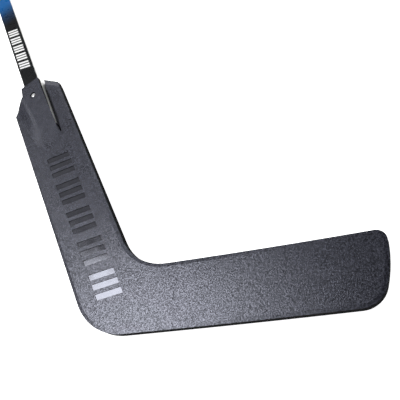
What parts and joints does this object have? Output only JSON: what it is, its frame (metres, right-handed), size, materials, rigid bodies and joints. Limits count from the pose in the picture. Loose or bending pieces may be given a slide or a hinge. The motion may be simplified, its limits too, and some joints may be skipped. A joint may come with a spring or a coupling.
{
  "type": "street hockey goalkeeper stick",
  "caption": "Goalkeeper's hockey stick: a one-piece moulded paddle and curved blade socketed and riveted to a laminated wooden shaft.",
  "frame": {"origin": "on the flat of the ice edge, 60 mm from the corner where the heel line would meet it, half-way through the blade's thickness", "axes": "+X along the blade from heel to toe, +Y up the stick, square to the ice edge, +Z out of the front (striking) face; the stick lies on its back"},
  "size_m": [0.8558, 1.1638, 0.0301],
  "materials": {
    "moulded_plastic": "fine pebble grain, smooth sunk marks",
    "face_ply": "white lacquer on the sides",
    "core_ply": "white lacquer on the sides",
    "printed_film": "gloss black print fading to blue, with plain white bars",
    "rivet_steel": "bright zinc"
  },
  "bodies": {
    "root": {"paddle_and_blade": "moulded_plastic", "shaft_front_face_ply": "face_ply", "shaft_front_core_ply": "core_ply", "shaft_middle_core_ply": "core_ply", "shaft_back_core_ply": "core_ply", "shaft_back_face_ply": "face_ply", "shaft_front_print": "printed_film", "shaft_back_print": "printed_film", "neck_rivet": "rivet_steel", "rivet_washer": "rivet_steel"}
  },
  "joints": []
}
